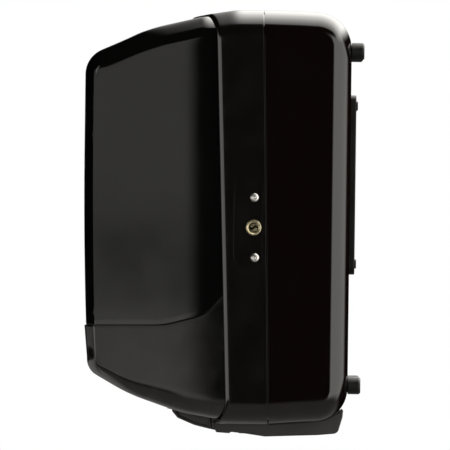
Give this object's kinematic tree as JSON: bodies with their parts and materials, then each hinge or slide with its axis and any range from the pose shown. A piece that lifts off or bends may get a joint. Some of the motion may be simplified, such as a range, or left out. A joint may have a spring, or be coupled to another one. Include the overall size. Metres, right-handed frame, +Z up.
{
  "type": "wall mounted soap dispenser",
  "caption": "Wall-mounted touch-free soap dispenser: black housing on standoffs, side-locked swing cover with smoked window and chin, bottom nozzle, tank, pump drive.",
  "frame": {"origin": "centre of the four wall screw holes, on the wall plane at the back faces of the standoffs", "axes": "+Z up, +Y into the wall, the dispenser's front faces -Y, +X is the side with the key lock"},
  "size_m": [0.2082, 0.2093, 0.3195],
  "materials": {
    "gloss_black": "polished moulded ABS with faint orange peel and fine dust",
    "satin_black": "fine spark-eroded grain, slightly mottled",
    "smoked_window": "polished smoked translucent polycarbonate",
    "dark_grey_plastic": "fine moulded grain",
    "natural_plastic": "unpigmented acetal",
    "steel": "satin zinc plated",
    "lock_brass": "nickel-washed brass, brushed face",
    "brass_gear": "machined",
    "rubber": "matte",
    "sensor_red": "infra-red filter plastic",
    "led_white": "milky lens",
    "board_green": "solder mask",
    "chip_black": "moulded epoxy",
    "cell_wrap": "shrink film",
    "lead_red": "PVC",
    "lead_blue": "PVC",
    "tank_plastic": "blow-moulded translucent polyethylene",
    "soap": "pearly liquid",
    "gauge_ink": "printed marks",
    "switch_red": "moulded"
  },
  "bodies": {
    "wall_unit": {"back_housing": "gloss_black", "wall_standoffs": "rubber", "rear_access_plate": "satin_black", "rear_plate_screws": "steel", "hinge_pins": "steel", "lock_striker": "steel", "bottom_tray": "satin_black", "tray_screws": "steel", "sensor_lens": "sensor_red", "status_led": "led_white", "sensor_board": "board_green", "drive_chassis": "dark_grey_plastic", "chassis_screws": "steel", "guide_rods": "steel", "pump_cylinder": "natural_plastic", "pump_seal": "rubber", "gear_plate_rear": "dark_grey_plastic", "gear_plate_front": "dark_grey_plastic", "gear_axles": "steel", "motor_case": "steel", "battery_box": "dark_grey_plastic", "batteries": "cell_wrap", "battery_springs": "steel", "circuit_board": "board_green", "board_parts": "chip_black", "battery_leads": "lead_red", "motor_leads": "lead_blue", "switch_body": "chip_black", "tank_cradle": "dark_grey_plastic", "pump_spring": "steel"},
    "cover": {"cover_frame": "gloss_black", "cover_window": "smoked_window", "chin_shell": "satin_black", "lower_lip": "satin_black", "lip_screws": "steel", "lock_barrel": "lock_brass", "lock_nut": "steel", "lock_plate": "steel", "lock_rivets": "steel"},
    "lock": {"lock_plug": "lock_brass", "lock_cam": "steel", "cam_screw": "steel"},
    "carriage": {"pump_carriage": "natural_plastic", "piston": "natural_plastic", "piston_seal": "rubber", "nozzle": "chip_black"},
    "output": {"output_gear": "natural_plastic"},
    "idler": {"idler_gear": "natural_plastic"},
    "rotor": {"motor_pinion": "brass_gear"},
    "tank": {"soap_tank": "tank_plastic", "tank_top_plate": "tank_plastic", "liquid_soap": "soap", "tank_gauge": "gauge_ink", "lid_pin": "steel"},
    "lid": {"tank_lid": "dark_grey_plastic"},
    "battery_flap": {"battery_door": "dark_grey_plastic"},
    "switch": {"switch_knob": "switch_red"}
  },
  "joints": [
    {"name": "cover_hinge", "type": "hinge", "parent": "wall_unit", "child": "cover", "pos_m": [-0.1042, -0.07218, -0.0016], "axis": [0, 0.0222, -0.9998], "range_deg": [0, 110]},
    {"name": "lock_turn", "type": "hinge", "parent": "cover", "child": "lock", "pos_m": [0.09, -0.0814, -0.0076], "axis": [1, 0, 0], "range_deg": [0, 90]},
    {"name": "pump_lift", "type": "slide", "parent": "wall_unit", "child": "carriage", "axis": [0, 0, 1], "range_m": [0, 0.012], "stiffness_N_per_m": 250, "springref_m": -0.012, "deforming": ["pump_spring"]},
    {"name": "output_spin", "type": "hinge", "parent": "wall_unit", "child": "output", "pos_m": [0.046, -0.1, -0.116], "axis": [0, 1, 0], "range_deg": [0, 87]},
    {"name": "idler_spin", "type": "hinge", "parent": "wall_unit", "child": "idler", "pos_m": [0.05513, -0.09, -0.09642], "axis": [0, 1, 0], "range_deg": [-248, 0]},
    {"name": "motor_spin", "type": "hinge", "parent": "wall_unit", "child": "rotor", "pos_m": [0.07348, -0.088, -0.10927], "axis": [0, 1, 0], "range_deg": [0, 740]},
    {"name": "tank_lift", "type": "slide", "parent": "wall_unit", "child": "tank", "axis": [0, 0, 1], "range_m": [0, 0.016]},
    {"name": "tank_lid_hinge", "type": "hinge", "parent": "tank", "child": "lid", "pos_m": [0, -0.08, 0.087], "axis": [-1, 0, 0], "range_deg": [0, 80]},
    {"name": "battery_flap_hinge", "type": "hinge", "parent": "wall_unit", "child": "battery_flap", "pos_m": [-0.057, -0.0831, -0.1428], "axis": [1, 0, 0], "range_deg": [0, 65]},
    {"name": "switch_slide", "type": "slide", "parent": "wall_unit", "child": "switch", "axis": [1, 0, 0], "range_m": [0, 0.004]}
  ],
  "couplings": [
    {"joint": "output_spin", "follows": "pump_lift", "rad_per_m": 125},
    {"joint": "idler_spin", "follows": "pump_lift", "rad_per_m": -357.14},
    {"joint": "motor_spin", "follows": "pump_lift", "rad_per_m": 1071.4}
  ]
}
